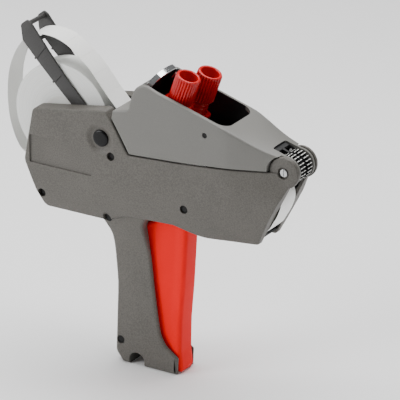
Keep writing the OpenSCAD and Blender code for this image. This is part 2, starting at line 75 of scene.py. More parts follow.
HUB = axis_xz("cover_hinge")
ROLL = axis_xz("roll_turn")
ARM = axis_xz("web_arm_swing")
KNOB = axis_xz("right_dial_turn")
BAIL = axis_xz("bail_hinge")
KNOB_Y = abs(JOINTS["left_dial_turn"]["pos_m"][1]) / MM
LEAN = math.degrees(math.atan2(JOINTS["left_dial_turn"]["axis"][0], JOINTS["left_dial_turn"]["axis"][2]))

BODY_HALF = 23.0
NOSE_HALF = 14.6
GRIP_HALF = 12.8
WALL = 2.2
WELL_HALF = 12.5
TAPER_X = 70.0
HUB_R = 12.0
print("knobs lean", round(LEAN, 1), "degrees; hub at", HUB)

# %% [markdown]
# ## Outlines with round corners
# Every moulded piece of the gun is a flat outline given thickness across the width. Each outline is a
# short list of corners with a radius; the arcs are worked out here, fine enough to look round.
# %% Rounded outlines
def rounded(outline, degrees_per_step=9):
    points = []
    count = len(outline)
    for i, (x, z, radius) in enumerate(outline):
        here = Vector((x, z))
        back = Vector(outline[i - 1][:2]) - here
        ahead = Vector(outline[(i + 1) % count][:2]) - here
        room = 0.48 * min(back.length, ahead.length)
        back.normalize()
        ahead.normalize()
        half = math.acos(max(-1.0, min(1.0, back.dot(ahead)))) / 2
        if radius == 0 or half > math.radians(89.6):
            points.append(here)
            continue
        reach = min(radius / math.tan(half), room)
        r = reach * math.tan(half)
        centre = here + (back + ahead).normalized() * r / math.sin(half)
        first = here + back * reach - centre
        last = here + ahead * reach - centre
        start = math.atan2(first.y, first.x)
        turn = (math.atan2(last.y, last.x) - start + math.pi) % (2 * math.pi) - math.pi
        steps = max(2, math.ceil(abs(math.degrees(turn)) / degrees_per_step))
        for k in range(steps + 1):
            a = start + turn * k / steps
            points.append(centre + r * Vector((math.cos(a), math.sin(a))))
    return points


def shrunk(points, depth):
    """The same outline drawn in by depth, each point along the middle of its two edges' normals."""
    count = len(points)
    area = sum(points[i - 1].x * points[i].y - points[i].x * points[i - 1].y for i in range(count))
    sign = 1 if area > 0 else -1
    result = []
    for i, here in enumerate(points):
        before = (here - points[i - 1]).normalized()
        after = (points[(i + 1) % count] - here).normalized()
        n1 = Vector((-before.y, before.x)) * sign
        n2 = Vector((-after.y, after.x)) * sign
        middle = n1 + n2
        middle = middle.normalized() if middle.length > 1e-6 else n1
        result.append(here + middle * depth / max(0.45, middle.dot(n1)))
    return result


def inner_outline(outline, depth):
    """Corners of an outline drawn in by a wall's thickness, with their radii drawn in too."""
    moved = shrunk([Vector(c[:2]) for c in outline], depth)
    return [(p.x, p.y, max(0, c[2] - depth)) for p, c in zip(moved, outline)]

# %% [markdown]
# ## A slab with soft rims
# A slab is an outline carried from one side to the other. Its rim can be rounded in a few steps,
# which gives the bright line that a real moulding shows along its edges. Rounding it here, and not
# with a bevel afterwards, keeps the faces clean.
# %% Slabs, bars and boxes
def new_piece(name, mesh_maker):
    bm = bmesh.new()
    mesh_maker(bm)
    bmesh.ops.recalc_face_normals(bm, faces=bm.faces)
    mesh = bpy.data.meshes.new(name)
    bm.to_mesh(mesh)
    bm.free()
    piece = bpy.data.objects.new(name, mesh)
    bpy.context.scene.collection.objects.link(piece)
    return piece


def join_rings(bm, rings, ends=True):
    """Faces between rings of points. The ends are closed, or else the last ring meets the first."""
    following = rings[1:] if ends else rings[1:] + rings[:1]
    for low, high in zip(rings, following):
        for i in range(len(low)):
            bm.faces.new((low[i - 1], low[i], high[i], high[i - 1]))
    if ends:
        bm.faces.new(rings[0])
        bm.faces.new(rings[-1])


def rim_steps(y0, y1, r0, r1, steps):
    """Pairs of sideways place and draw-in that carry an outline from y0 to y1 with rounded rims."""
    rows = []
    for k in range(steps + 1 if r0 else 1):
        a = math.pi / 2 * (k / steps if r0 else 1)
        rows.append((y0 + r0 * (1 - math.cos(a)), r0 * (1 - math.sin(a))))
    if r1 == 0:
        return rows + [(y1, 0.0)]
    for k in range(steps + 1):
        a = math.pi / 2 * k / steps
        rows.append((y1 - r1 + r1 * math.sin(a), r1 * (1 - math.cos(a))))
    return rows


def slab(name, points, y0, y1, r0=0.0, r1=0.0, steps=4):
    """An outline carried from y0 to y1, with its two rims rounded by r0 and r1."""
    points = [Vector(p) for p in points]

    def make(bm):
        rings = []
        for y, depth in rim_steps(y0, y1, r0, r1, steps):
            ring = shrunk(points, depth) if depth > 1e-6 else points
            rings.append([bm.verts.new((p.x * MM, y * MM, p.y * MM)) for p in ring])
        join_rings(bm, rings)
    return new_piece(name, make)


def circle(centre, radius, steps=64):
    return [Vector((centre[0] + radius * math.cos(2 * math.pi * k / steps),
                    centre[1] + radius * math.sin(2 * math.pi * k / steps))) for k in range(steps)]


def bar(name, centre, radius, y0, y1, r0=0.0, r1=0.0, steps=64):
    return slab(name, circle(centre, radius, steps), y0, y1, r0, r1, 3)


def box(name, low, high):
    corners = [(low[0], low[2]), (high[0], low[2]), (high[0], high[2]), (low[0], high[2])]
    return slab(name, corners, low[1], high[1])


def drop(piece):
    bpy.data.objects.remove(piece)


def combine(piece, others, operation="DIFFERENCE"):
    """Cuts the others from a piece, joins them to it or keeps what they share, and removes them."""
    for other in others:
        step = piece.modifiers.new("cut", "BOOLEAN")
        step.operation = operation
        step.solver = "EXACT"
        step.object = other
    done = bpy.data.meshes.new_from_object(piece.evaluated_get(bpy.context.evaluated_depsgraph_get()))
    piece.modifiers.clear()
    piece.data = done
    for other in others:
        drop(other)
    return piece


def warp(piece, rule):
    """Moves every point of a piece by a rule in millimetres."""
    for v in piece.data.vertices:
        v.co = Vector(rule(*(v.co / MM))) * MM
    return piece


def grid(piece, xs=(), zs=(), ys=()):
    """Cuts long flat faces into a grid, so that a warp can bend them smoothly."""
    bm = bmesh.new()
    bm.from_mesh(piece.data)
    for values, normal in ((ys, (0, 1, 0)), (xs, (1, 0, 0)), (zs, (0, 0, 1))):
        for value in values:
            bmesh.ops.bisect_plane(bm, geom=bm.verts[:] + bm.edges[:] + bm.faces[:], dist=1e-7,
                                   plane_co=Vector(normal) * value * MM, plane_no=normal)
    bm.to_mesh(piece.data)
    bm.free()
    return piece


def mirrored(piece, name):
    copy = bpy.data.objects.new(name, piece.data.copy())
    bpy.context.scene.collection.objects.link(copy)
    copy.data.transform(Matrix.Scale(-1, 4, (0, 1, 0)))
    copy.data.flip_normals()
    return copy


def soften(piece, angle=32, bevel=0.0, segments=2):
    """Smooth shading with crisp edges above an angle, and a small real bevel on them if asked."""
    if bevel:
        edge = piece.modifiers.new("edge", "BEVEL")
        edge.width = bevel * MM
        edge.segments = segments
        edge.limit_method = "ANGLE"
        edge.angle_limit = math.radians(angle)
        edge.use_clamp_overlap = True
        edge.miter_outer = "MITER_ARC"
    piece.data.shade_smooth()
    piece.data.set_sharp_from_angle(angle=math.radians(angle))
    return piece

# %% [markdown]
# ## Finishes
# All finishes are made from noise and bump in the gun's own space, so grain has a real size: the
# housing's spark-eroded grain is about half a millimetre, the cover's is finer, and turned steel has
# rings round its axis.
# %% Finish builder
def finish(name, colour, rough, metallic=0.0, coat=0.0):
    """A material with its main shader, its texture space and a helper to add nodes."""
    material = bpy.data.materials.new(name)
    material.use_nodes = True
    tree = material.node_tree
    shader = tree.nodes["Principled BSDF"]
    shader.inputs["Base Color"].default_value = (*colour, 1)
    shader.inputs["Roughness"].default_value = rough
    shader.inputs["Metallic"].default_value = metallic
    shader.inputs["Coat Weight"].default_value = coat
    return material, tree, shader


def node(tree, kind, **values):
    made = tree.nodes.new(kind)
    for key, value in values.items():
        if key in made.inputs:
            made.inputs[key].default_value = value
        else:
            setattr(made, key, value)
    return made


def noise(tree, scale, detail=2.0, rough=0.5, stretch=None):
    """Noise in the gun's own space; scale is how many grains there are in a metre."""
    where = node(tree, "ShaderNodeTexCoord").outputs["Object"]
    if stretch:
        mapping = node(tree, "ShaderNodeMapping", Scale=stretch)
        tree.links.new(where, mapping.inputs["Vector"])
        where = mapping.outputs["Vector"]
    made = node(tree, "ShaderNodeTexNoise", Scale=scale, Detail=detail, Roughness=rough)
    tree.links.new(where, made.inputs["Vector"])
    return made


def vary_colour(tree, shader, factor, dark, light, low=0.35, high=0.65):
    """Lets the colour wander between two shades."""
    ramp = node(tree, "ShaderNodeValToRGB")
    ramp.color_ramp.elements[0].position = low
    ramp.color_ramp.elements[0].color = (*dark, 1)
    ramp.color_ramp.elements[1].position = high
    ramp.color_ramp.elements[1].color = (*light, 1)
    tree.links.new(factor, ramp.inputs["Fac"])
    tree.links.new(ramp.outputs["Color"], shader.inputs["Base Color"])
    return ramp


def vary_rough(tree, shader, factor, low, high):
    """Lets the roughness wander between two values."""
    spread = node(tree, "ShaderNodeMapRange", data_type="FLOAT")
    spread.inputs["To Min"].default_value = low
    spread.inputs["To Max"].default_value = high
    tree.links.new(factor, spread.inputs["Value"])
    tree.links.new(spread.outputs["Result"], shader.inputs["Roughness"])


def bump(tree, shader, height, depth_mm, strength=1.0):
    """Relief of a real depth."""
    made = node(tree, "ShaderNodeBump", Strength=strength, Distance=depth_mm * MM)
    tree.links.new(height, made.inputs["Height"])
    tree.links.new(made.outputs["Normal"], shader.inputs["Normal"])


def srgb(text):
    """A colour written as six hex digits, as the linear values that shaders use."""
    parts = [int(text[i:i + 2], 16) / 255 for i in (0, 2, 4)]
    return tuple(p / 12.92 if p <= 0.04045 else ((p + 0.055) / 1.055) ** 2.4 for p in parts)


def scaled(colour, k):
    return tuple(min(1.0, c * k) for c in colour)

# %% [markdown]
# ### Moulded plastics
# Housing, cover and arms are the same kind of plastic with different grains. A wide slow noise
# shifts the shade a little, as filled plastic does, and a fine one makes the grain that breaks up the
# highlights. The trigger and the knobs are smoother and shinier.
# %% Plastic finishes
def moulded(name, hex_colour, rough, grain_per_m, grain_mm, shade=0.10, coat=0.0, gloss=0.4):
    colour = srgb(hex_colour)
    material, tree, shader = finish(name, colour, rough, coat=coat)
    slow = noise(tree, 40, 2)
    grain = noise(tree, grain_per_m, 3, 0.6)
    blend_in = node(tree, "ShaderNodeMath", operation="MULTIPLY_ADD")
    blend_in.inputs[1].default_value = 0.86
    tree.links.new(grain.outputs["Fac"], blend_in.inputs[0])
    half = node(tree, "ShaderNodeMath", operation="MULTIPLY")
    half.inputs[1].default_value = 0.14
    tree.links.new(slow.outputs["Fac"], half.inputs[0])
    tree.links.new(half.outputs["Value"], blend_in.inputs[2])
    vary_colour(tree, shader, blend_in.outputs["Value"], scaled(colour, 1 - shade),
                scaled(colour, 1 + shade), 0.38, 0.62)
    shader.inputs["Specular IOR Level"].default_value = gloss
    vary_rough(tree, shader, grain.outputs["Fac"], rough - 0.08, rough + 0.08)
    bump(tree, shader, grain.outputs["Fac"], grain_mm)
    return material


HOUSING = moulded("housing_grain", "54514c", 0.52, 1200, 0.13, 0.22)
COVER = moulded("cover_satin", "6b6a66", 0.46, 2200, 0.03, 0.06)
ARM_GREY = moulded("arm_grey", "302f2e", 0.42, 1400, 0.08, 0.18)
BLACK = moulded("black_moulding", "0e0e0f", 0.42, 2200, 0.03, 0.15)
# Charcoal is also used as painted shade on the faces inside the cover.
CHARCOAL = moulded("charcoal_moulding", "1b1b1c", 0.4, 2200, 0.03, 0.1)
BUTTON = moulded("polished_black", "040405", 0.22, 2500, 0.004, 0.1, gloss=0.2)
TRIGGER_RED = moulded("trigger_red", "ea0003", 0.5, 2600, 0.012, 0.05, gloss=0.1)
KNOB_RED = moulded("knob_red", "c00104", 0.26, 2600, 0.008, 0.06, gloss=0.5)
BRIDGE_GREY = moulded("bridge_grey", "8b8983", 0.5, 2200, 0.03, 0.08)
# On the applicator wheels this white covers only the tooth tips, as painted highlight.
WHEEL_WHITE = moulded("wheel_white", "e4e4e0", 0.3, 2600, 0.008, 0.04, coat=0.2)
print("plastic finishes ready")

# %% [markdown]
# ### Metals, paper, card, rubber and felt
# Stamped steel has faint streaks along its length, turned pins have rings, and the bail is polished.
# Label paper is nearly white with a soft fibre; the roll's flat side also shows its windings.
# %% Other finishes
def steel(name, hex_colour, rough, streak, depth_mm):
    colour = srgb(hex_colour)
    material, tree, shader = finish(name, colour, rough, metallic=1.0)
    streaks = noise(tree, 900, 3, 0.6, streak)
    vary_colour(tree, shader, streaks.outputs["Fac"], scaled(colour, 0.86), scaled(colour, 1.08))
    vary_rough(tree, shader, streaks.outputs["Fac"], rough * 0.7, rough * 1.35)
    bump(tree, shader, streaks.outputs["Fac"], depth_mm)
    return material


def paper(name, hex_colour, rough=0.62):
    colour = srgb(hex_colour)
    material, tree, shader = finish(name, colour, rough)
    fibre = noise(tree, 1800, 4, 0.7, (1, 0.35, 1))
    vary_colour(tree, shader, fibre.outputs["Fac"], scaled(colour, 0.96), colour)
    bump(tree, shader, fibre.outputs["Fac"], 0.02)
    return material


def wound_paper(name, hex_colour):
    """Paper whose relief is rings round the roll's axle, one for every few windings."""
    colour = srgb(hex_colour)
    material, tree, shader = finish(name, colour, 0.66)
    where = node(tree, "ShaderNodeTexCoord").outputs["Object"]
    moved = node(tree, "ShaderNodeVectorMath", operation="SUBTRACT")
    moved.inputs[1].default_value = (ROLL[0] * MM, 0, ROLL[1] * MM)
    flat = node(tree, "ShaderNodeVectorMath", operation="MULTIPLY")
    flat.inputs[1].default_value = (1, 0, 1)
    length = node(tree, "ShaderNodeVectorMath", operation="LENGTH")
    rings = node(tree, "ShaderNodeTexNoise", noise_dimensions="1D", Scale=1400, Detail=2)
    tree.links.new(where, moved.inputs[0])
    tree.links.new(moved.outputs["Vector"], flat.inputs[0])
    tree.links.new(flat.outputs["Vector"], length.inputs[0])
    tree.links.new(length.outputs["Value"], rings.inputs["W"])
    vary_colour(tree, shader, rings.outputs["Fac"], scaled(colour, 0.9), colour, 0.3, 0.6)
    bump(tree, shader, rings.outputs["Fac"], 0.15)
    return material


PIN_STEEL = steel("turned_steel", "b9babb", 0.3, (1, 6, 1), 0.01)
STAMPED = steel("stamped_steel", "a9abad", 0.42, (0.15, 1, 1), 0.02)
POLISHED = steel("polished_strap", "e6e8ea", 0.12, (1, 0.1, 1), 0.004)
WIRE = steel("spring_wire", "b5b7ba", 0.3, (1, 1, 1), 0.01)
# Near-black steel for the screws: painted shade for the deep pits that their heads lie in.
DARK_SHADE_STEEL = steel("dark_steel_painted_shade", "2c2c2c", 0.5, (1, 4, 1), 0.02)
LABEL_PAPER = paper("label_paper", "ecece9")
BACKING = paper("backing_paper", "f4f4f1", 0.4)
WOUND = wound_paper("wound_labels", "e6e7e4")
CARD = paper("core_card", "e2e1dc", 0.7)
RUBBER = moulded("type_rubber", "19191a", 0.7, 1800, 0.04, 0.15)
FELT = moulded("ink_felt", "17171f", 0.95, 900, 0.2, 0.3)
print("metal and paper finishes ready")


def dress(piece, material):
    piece.data.materials.clear()
    piece.data.materials.append(material)
    return piece


def place(piece, material, slot, body, *replaced):
    """Gives a finished piece its material and its body, and hides the plain nodes that it stands for; the slot is
    not used.
    """
    dress(piece, material)
    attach(piece, body)
    if replaced:
        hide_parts(*replaced)
    return piece

# %% [markdown]
# ## The housing halves
# Each half is one moulding: the body's flat side, the grip, a ring-shaped ear at the nose and the
# walls of the roll well. The side draws in towards the nose and, softly, towards the belly, and the
# grip widens into the body. The outer skin is a slab with a rounded rim, cut into a grid and bent;
# then the rooms inside are cut out of it.
# %% Housing outlines
GRIP_ROOM = [
    (-33.6, 125), (-33.6, 114.5), (-27.6, 105), (-23.6, 64), (-25.4, 9.2), (-20.6, 2.6), (22.6, 2.4),
    (23, 12), (13.6, 18.6), (8.3, 26.8), (5.6, 44), (2.6, 66), (0, 89), (-4.4, 117), (-4.4, 125),
]
BODY = [
    (-92, 191.5, 6), (-29, 202, 3), (-25, 196.5, 1), (-16, 181.5, 2), (-10, 171, 4),
    (33, 173.7, 120), (73, 177.5, 120), (104, 180, 1), (116, 181.5, 0), (123, 178.5, 0),
    (120.2, 170.6, 2), (113.6, 157.5, 60), (105.4, 141.4, 60), (95.8, 121.2, 3), (73, 120.6, 60),
    (51, 119, 40), (39, 121, 40), (27, 123.5, 8), (-14, 121.5, 20), (-30, 114.1, 10),
    (-84, 114, 6), (-91, 125.5, 6), (-100, 149, 8),
]
GRIP = [
    (-46, 115.2, 0), (-36.5, 114.2, 6), (-29.6, 103.5, 16), (-26, 64, 120), (-28, 8, 6), (-22, 0, 3),
    (25, 0, 0.8), (25.6, 13.3, 1.5), (15.6, 20.5, 7), (10.6, 28, 30), (8, 44, 60),
    (5, 66.5, 90), (2.5, 89, 90), (-2, 117, 20), (7, 125, 0), (-46, 125, 0),
]


TAPER_BLEND = 6.0
BELLY_MID, BELLY_NOSE = 4.4, 7.0
GRIP_FLARE = 0.38


def within(t):
    return max(0.0, min(1.0, t))


def ease(t):
    """A share from 0 to 1 that starts and stops softly."""
    t = within(t)
    return t * t * (3 - 2 * t)


def half_width(x, z=200.0):
    """Half of the body's width: straight, then drawn in towards the nose, less so lower down."""
    past = max(0.0, x - TAPER_X)
    run = HUB[0] - TAPER_X
    share = (math.hypot(past, TAPER_BLEND) - TAPER_BLEND) / (math.hypot(run, TAPER_BLEND) - TAPER_BLEND)
    low = within((172 - z) / 14)
    return BODY_HALF - (BODY_HALF - NOSE_HALF) * min(1.0, share) * (1 - 0.6 * low)


def belly(x, z):
    """How much the side curves in towards the bottom of the body, and more so at the nose."""
    low = within((156 - z) / 44)
    nose = within((x - 60) / 40)
    return (BELLY_MID + BELLY_NOSE * nose) * low ** 2.2


def body_side(x, y, z):
    return x, y * (half_width(x, z) - belly(x, z)) / BODY_HALF, z


def grip_side(x, y, z):
    """The grip widens where it grows out of the body, so that one flows into the other."""
    return x, y * (1 + GRIP_FLARE * ease((z - 88) / 32)), z


def cover_side(x, y, z):
    return x, y * half_width(x) / BODY_HALF, z


def steps_between(first, last, gap):
    """Evenly spaced places between two ends, without the ends."""
    count = max(1, round((last - first) / gap))
    return [first + (last - first) * k / count for k in range(1, count)]

# %% [markdown]
# The outer skin comes first. The ear at the nose has its own rounded rim, because its edge is what
# catches the light round the axle's head.
# %% Outer skin of the left half
RIM = 1.3
skin = slab("housing_skin", rounded(BODY), 0, BODY_HALF, 0, RIM, 5)
grid(skin, steps_between(-100, 124, 6), steps_between(114, 202, 5))
warp(skin, body_side)
grip = slab("grip_skin", rounded(GRIP), 0, GRIP_HALF, 0, 2.4, 6)
grid(grip, (), steps_between(84, 125, 3))
warp(grip, grip_side)
ear = bar("ear_skin", HUB, HUB_R, 11.6, NOSE_HALF, 0.0, 1.3, 72)
combine(skin, [grip, ear], "UNION")
whole_skin = mirrored(skin, "whole_skin")
print("outer skin:", len(skin.data.polygons), "faces")

# %% [markdown]
# The rooms: the hollow of the body, open at the top under the cover and at the front of the nose, and
# the hollow of the grip that the trigger swings into. The roll's well keeps its own walls.
# %% Rooms inside
def well_space(grow, half):
    arch = bar("well_round", ROLL, 42.5 + grow, -half, half, steps=96)
    arm_room = box("well_arm", (-130, -half, 169.5 - grow), (-24 + grow, half, 262))
    exit_room = box("well_exit", (-130, -half, 142.8 - grow), (-80, half, 184))
    return combine(arch, [arm_room, exit_room], "UNION")


room = slab("room", rounded(inner_outline(BODY, WALL)), -1, BODY_HALF - WALL)
OPEN_TOP = ((-20, 150), (-20, 262), (140, 262), (140, 171), (87, 171), (60, 150))
open_top = slab("open_top", OPEN_TOP, -1, BODY_HALF - WALL)
combine(room, [open_top], "UNION")
grid(room, steps_between(-100, 140, 8), steps_between(114, 262, 8))


def room_side(x, y, z):
    if y < 0:
        return x, y, z
    outer = half_width(x, z) - belly(x, z)
    past = within((x - 90) / (HUB[0] - 90))
    return x, y / (BODY_HALF - WALL) * (outer - WALL - 0.8 * past), z


warp(room, room_side)
combine(room, [well_space(1.8, WELL_HALF + 2)])
nose_opening = [box("nose_top", (80, -1, 146), (140, 10.7, 172)),
                box("nose_middle", (80, -1, 132), (140, 7.8, 147)),
                box("nose_foot", (87, -1, 100), (140, 10.7, 133))]
GRIP_ROOM_HALF = 10.4
grip_room = slab("grip_room", GRIP_ROOM, -1, GRIP_ROOM_HALF)
MOUTH = ((6.5, -5), (6.5, 28), (3, 44), (-6, 98), (-8, 121), (36, 121), (36, -5))
mouth = slab("grip_mouth", MOUTH, -1, GRIP_ROOM_HALF)
throat = box("grip_throat", (-33.6, -1, 106), (34, GRIP_ROOM_HALF, 128))
combine(grip_room, [mouth, throat], "UNION")


NOTCH_X, NOTCH_Z, NOTCH_R, ARC_STEPS = -9.4, 3.6, 6.6, 24


def notch_outline(grow):
    """An arch over the notch in the grip's foot: straight sides and a half round top."""
    radius = NOTCH_R + grow
    angles = [math.pi * k / ARC_STEPS for k in range(ARC_STEPS + 1)]
    arc = [(NOTCH_X + radius * math.cos(a), NOTCH_Z + radius * math.sin(a)) for a in angles]
    return [(NOTCH_X + radius, -6)] + arc + [(NOTCH_X - radius, -6)]


combine(grip_room, [slab("notch_wall", notch_outline(2), -2, 12)])
print("rooms ready")

# %% [markdown]
# Now the skin is hollowed, and the details that both halves share are cut: the well, the notch in the
# foot, the round seat of the side button in its finger dish, the seat of the axle's head, and the
# shallow panel, which is left blank.
# %% Cutting the shared half
shell = combine(skin, [room, grip_room] + nose_opening)
sleeve = bar("button_sleeve", ARM, 8.2, WELL_HALF, BODY_HALF - 0.8)
combine(shell, [sleeve], "UNION")


def dish(centre, r_face, r_floor, depth, y_face):
    """A finger dish: a shallow bowl cut into a flat side."""
    def make(bm):
        rings = []
        rows = 10
        for k in range(rows + 1):
            t = k / rows
            r = r_floor + (r_face - r_floor) * t
            y = y_face - depth * (1 - t * t * (3 - 2 * t)) if k < rows else y_face
            rings.append([bm.verts.new((p.x * MM, y * MM, p.y * MM)) for p in circle(centre, r, 72)])
        top = [bm.verts.new((p.x * MM, (y_face + 3) * MM, p.y * MM)) for p in circle(centre, r_face, 72)]
        rings.append(top)
        join_rings(bm, rings)
    return new_piece("dish", make)


PANEL = [(-95, 148, 1), (-41, 148, 1), (-41, 170, 1), (-95, 170, 1)]
cuts = [
    well_space(0, WELL_HALF),
    slab("notch", notch_outline(0), -2, 20),
    bar("axle_bore", HUB, 2.5, -2, 40),
    bar("axle_seat", HUB, 4.6, 13.1, 40),
    bar("button_bore", ARM, 6.55, 14.5, 40),
    dish(ARM, 12.0, 7.2, 1.9, BODY_HALF),
    slab("panel", rounded(PANEL), BODY_HALF - 1.3, 30, 0.3, 0),
]
combine(shell, cuts)
print("left half:", len(shell.data.polygons), "faces")

# %% [markdown]
# The screws go in from the right, so only the right half has the deep pits that their heads lie in.
# Each pit has a round wall, given as its radius and how far out it reaches. The wall of the third one
# is cut off at the skin, because that pit lies in the body's lower edge.
# %% Right half with its screw pits
SCREWS = ((-24.5, 167, 19.4), (37.4, 138.8, 19.4), (-30, 116.3, 15.5), (-86, 124.6, 16.5),
          (-23.3, 17.8, 10.4))
right = mirrored(shell, "right_housing_shell")
PIT_WALLS = ((4.3, 21.5), (4.3, 20.5), (4.3, 26), (3.7, 18.9), (4.1, 11.3))
for (x, z, _), (radius, end) in zip(SCREWS, PIT_WALLS):
    pit_wall = bar("pit_wall", (x, z), radius, -end, -4)
    if end > BODY_HALF:
        combine(pit_wall, [whole_skin], "INTERSECT")
    combine(right, [pit_wall], "UNION")
right = combine(right, [bar("pit", (x, z), 3.3, -40, -depth, 0, 0, 40) for x, z, depth in SCREWS])
shell.name = "left_housing_shell"
for half_shell, node_name in ((shell, "left_housing"), (right, "right_housing")):
    soften(half_shell, 30)
    place(half_shell, HOUSING, "housing_plastic", "root", node_name)
print("right half:", len(right.data.polygons), "faces")

# %% [markdown]
# ## Screws
# Pan-head screws with a cross slot sit at the bottom of the pits. A head is a low dome with two
# slots cut through it; the shank stays the frame's own plain solid. The heads are near-black steel,
# painted shade for the dark inside of the deep pits.
# %% Screw heads
def screw_head(name, x, z, y_face, radius=2.8):
    head = bar(name, (x, z), radius, y_face, y_face + 1.6, 0.7, 0, 32)
    long_slot = box("s", (x - 1.9, y_face - 1, z - 0.35), (x + 1.9, y_face + 0.9, z + 0.35))
    short_slot = box("s", (x - 0.35, y_face - 1, z - 1.9), (x + 0.35, y_face + 0.9, z + 1.9))
    combine(head, [long_slot, short_slot])
    soften(head, 35)
    # Painted shade: the near-black steel stands for the dark pit round the head.
    place(head, DARK_SHADE_STEEL, "pin_steel", "root")
    return head


for number, (x, z, depth) in enumerate(SCREWS):
    screw_head(f"screw_head_{number}", x, z, -depth - 0.03)

# %% [markdown]
# ## The hinged cover
# The cover is a lighter, smoother moulding. Its top has a big window for the knobs, a hump behind it
# and a plain slope down to the nose, where the top is crowned so that the side edges lie lower than the
# middle. It is cut out of a bent slab like the housing, and its ears fit inside the housing's ears.
# %% Cover skin
COVER_LINE = [
    (-23, 203.2, 1.5), (-9.4, 206.5, 3), (-7, 216.5, 8), (-3, 225.5, 8), (4.5, 228.5, 7),
    (15, 224.5, 30), (43.5, 216.7, 200), (71, 208.5, 200), (86, 203.4, 200), (102.5, 197.2, 90),
    (116.5, 193.2, 3), (116.5, 181.9, 0), (104, 180.7, 0), (73, 178.2, 120), (33, 174.4, 120),
    (-9.2, 171.8, 2), (-15.2, 182.2, 2), (-24.1, 197, 1),
]
COVER_ROOM = [
    (-20.8, 192), (-20.8, 201.3), (-7.2, 204.6), (-4.9, 215.8), (-1.2, 223.6), (4.4, 226.1),
    (14.4, 222.2), (42.9, 214.5), (70.4, 205.3), (101.8, 193.6), (130, 184), (130, 150), (-16, 150),
]


CROWN_DROP = 2.4


def crown(x, y, z):
    """The cover's side narrows to the nose, and its top falls away towards the sides there."""
    x, y, z = cover_side(x, y, z)
    length_share = ease((x - 68) / 34) * within((118 - x) / 6)
    part_line = 174 + (x - 30) * 0.085
    up = within((z - part_line) / 24)
    out = min(1.0, abs(y) / half_width(x))
    return x, y, z - CROWN_DROP * length_share * up * out ** 2.2


COVER_RIM = 1.5
cover = slab("cover_skin", rounded(COVER_LINE), -BODY_HALF, BODY_HALF, COVER_RIM, COVER_RIM, 5)
grid(cover, steps_between(-24, 117, 5), steps_between(172, 228, 6),
     steps_between(-BODY_HALF + COVER_RIM, BODY_HALF - COVER_RIM, 3.4))
warp(cover, crown)
cover_ear = bar("cover_ear", HUB, 11.4, -11.3, 11.3, 0.6, 0.6, 72)
combine(cover, [cover_ear], "UNION")
print("cover skin:", len(cover.data.polygons), "faces")

# %% [markdown]
# The window has straight sides and rounded front corners. Two lugs in its rear corners carry the
# bail's pins, and a low mouth in the rear wall lets the label web in. The faces inside are painted
# shade: they get a dark charcoal finish that stands for the shadow inside the cover.
# %% Cutting the cover
COVER_ROOM_HALF = 20


def cover_room_side(x, y, z):
    past = within((x - 90) / (HUB[0] - 90))
    return x, y / COVER_ROOM_HALF * (half_width(x) - 3 - 2.7 * past), z


cover_room = slab("cover_room", COVER_ROOM, -COVER_ROOM_HALF, COVER_ROOM_HALF)
grid(cover_room, steps_between(-20, 130, 6), steps_between(150, 226, 12))
warp(cover_room, cover_room_side)
WINDOW = [(3, -20, 0.8), (3, 20, 0.8), (71.5, 20, 9), (71.5, -20, 9)]
EAR_GAP_Y = 11.35


def upright(name, outline, z0, z1):
    """An outline in plan, carried upwards."""
    piece = slab(name, rounded(outline), -z1, -z0)
    piece.data.transform(Matrix.Rotation(math.radians(-90), 4, "X"))
    return piece


window = upright("window", WINDOW, 185, 262)
lugs = [box("lug", (0.4, side * 18.9 - 1.6, 219.5), (7.2, side * 18.9 + 1.6, 224.6)) for side in (-1, 1)]
ear_rooms = [bar("ear_room", HUB, HUB_R + 0.6, *sorted((side * EAR_GAP_Y, side * 40)), steps=72)
             for side in (-1, 1)]
combine(cover, [cover_room, window] + ear_rooms)
combine(cover, lugs, "UNION")
notch_front = upright("front_notch", [(104, -9, 1.2), (104, 9, 1.2), (140, 9, 0), (140, -9, 0)], 170, 262)
web_mouth = box("web_mouth", (-30, -11.4, 188), (-18, 11.4, 201.2))
pockets = [box("pocket", (0.2, side * 16.15 - 1.15, 221), (6.8, side * 16.15 + 1.15, 262))
           for side in (-1, 1)]
pin_holes = [bar("pin_hole", BAIL, 1.3, *sorted((side * 14, side * 20))) for side in (-1, 1)]
side_holes = [bar("side_hole", (55.3, 200.5), 2.1, *sorted((side * 21.5, side * 40)), steps=32)
              for side in (-1, 1)]
combine(cover, [notch_front, web_mouth, bar("hinge_bore", HUB, 2.56, -40, 40)] + pockets + pin_holes
        + side_holes)
cover.name = "cover_shell"
soften(cover, 30)
place(cover, COVER, "cover_plastic", "cover", "top_cover")
# Painted shade: faces inside the cover get the dark charcoal finish in place of the cover's own grey.
cover.data.materials.append(CHARCOAL)
for face in cover.data.polygons:
    x, y, z = face.center / MM
    roof = 226 - max(0.0, x - 4) * 0.29
    inside = abs(y) < COVER_ROOM_HALF + 0.2 and -20.9 < x < 104 and z < roof
    faces_up = abs(face.normal.y) < 0.5 and face.normal.z > 0.3
    if inside and not faces_up and abs(y) < half_width(x) - 2.6:
        face.material_index = 1
print("cover:", len(cover.data.polygons), "faces")

# %% [markdown]
# ## The trigger
# The trigger is one red moulding with soft edges. Its sides are dished: they draw in behind the thick
# rounded front, so that a finger finds the front edge. It is hollow behind, to clear the spring.
# %% Trigger
TRIGGER = [
    (26, 0.6, 1), (27.3, 3.5, 3), (25.9, 17, 20), (26.4, 40, 90), (28.9, 68.5, 120),
    (31.3, 108, 90), (31.6, 121.6, 1), (10, 121.6, 1), (-8, 112, 4), (-3, 89, 60),
    (0, 66.5, 90), (3, 44, 60), (6, 28, 20), (8, 10, 6), (9.5, 1.6, 3),
]
FRONT_LINE = ((0.6, 26.0), (3.5, 27.3), (17, 25.9), (40, 26.4), (68.5, 28.9), (108, 31.3), (122, 31.6))


